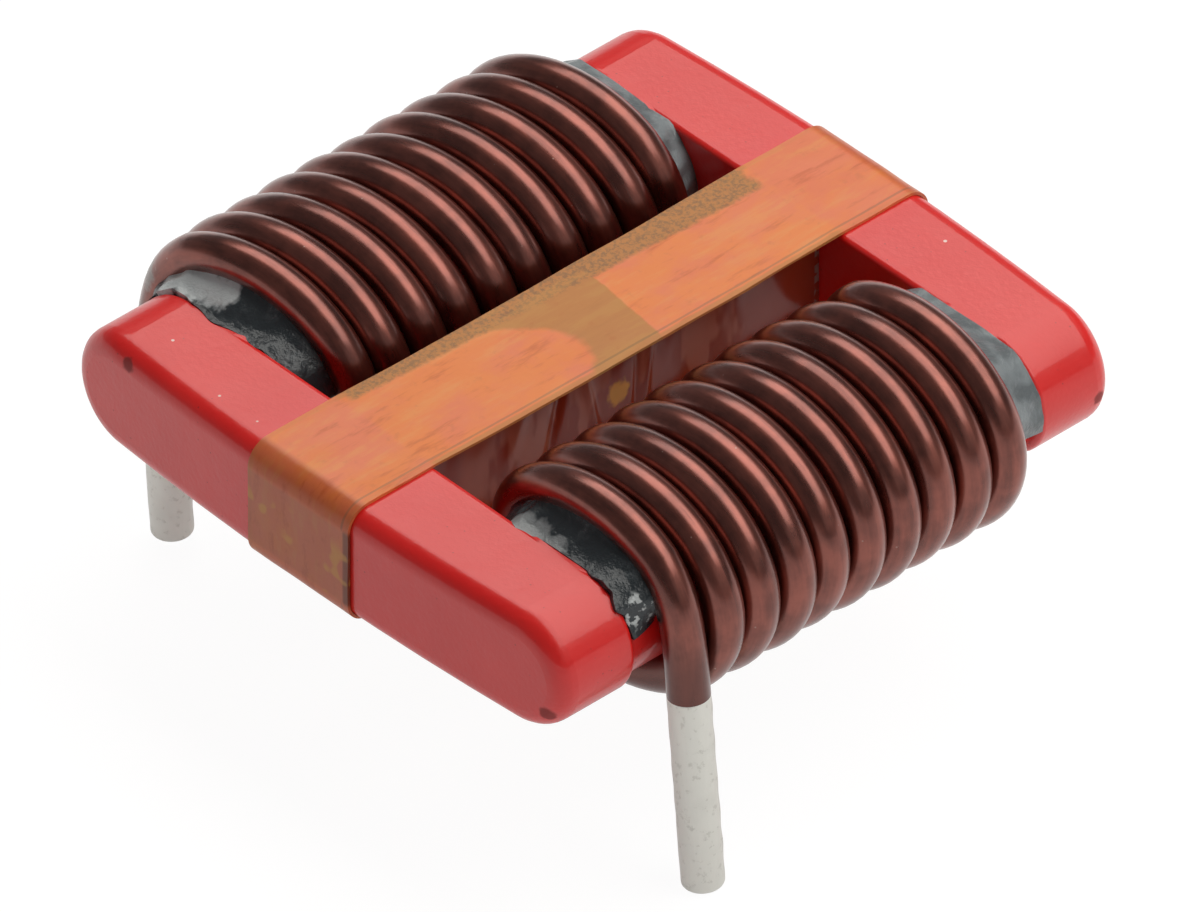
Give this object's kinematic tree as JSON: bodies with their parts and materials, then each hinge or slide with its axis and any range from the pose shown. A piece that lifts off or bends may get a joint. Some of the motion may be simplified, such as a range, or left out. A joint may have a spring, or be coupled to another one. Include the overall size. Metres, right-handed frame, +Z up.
{
  "type": "common mode choke",
  "caption": "Flat rectangular ferrite core of red-coated U halves with a winding of thick enamelled wire on each leg, a tape band over the window and tinned leads straight down.",
  "frame": {"origin": "on the plane of the lead tips, under the middle of the core", "axes": "+Z up from the lead tips to the core; X along the wound legs, from the near yoke (-X) to the far yoke (+X); Y along the yokes, from the front winding (-Y) to the rear winding (+Y)"},
  "size_m": [0.0282, 0.0301, 0.0149],
  "materials": {
    "red_epoxy": "satin",
    "enamelled_copper": "gloss",
    "amber_tape": "gloss",
    "amber_film": "gloss",
    "solder": "satin",
    "black_epoxy": "gloss"
  },
  "bodies": {
    "root": {"core_half_near": "red_epoxy", "core_half_far": "red_epoxy", "winding_front": "enamelled_copper", "winding_rear": "enamelled_copper", "binding_tape": "amber_tape", "winding_barrier": "amber_film", "solder_coat_front_near": "solder", "adhesive_front_near": "black_epoxy", "solder_coat_front_far": "solder", "adhesive_front_far": "black_epoxy", "solder_coat_rear_near": "solder", "adhesive_rear_near": "black_epoxy", "solder_coat_rear_far": "solder", "adhesive_rear_far": "black_epoxy"}
  },
  "joints": []
}
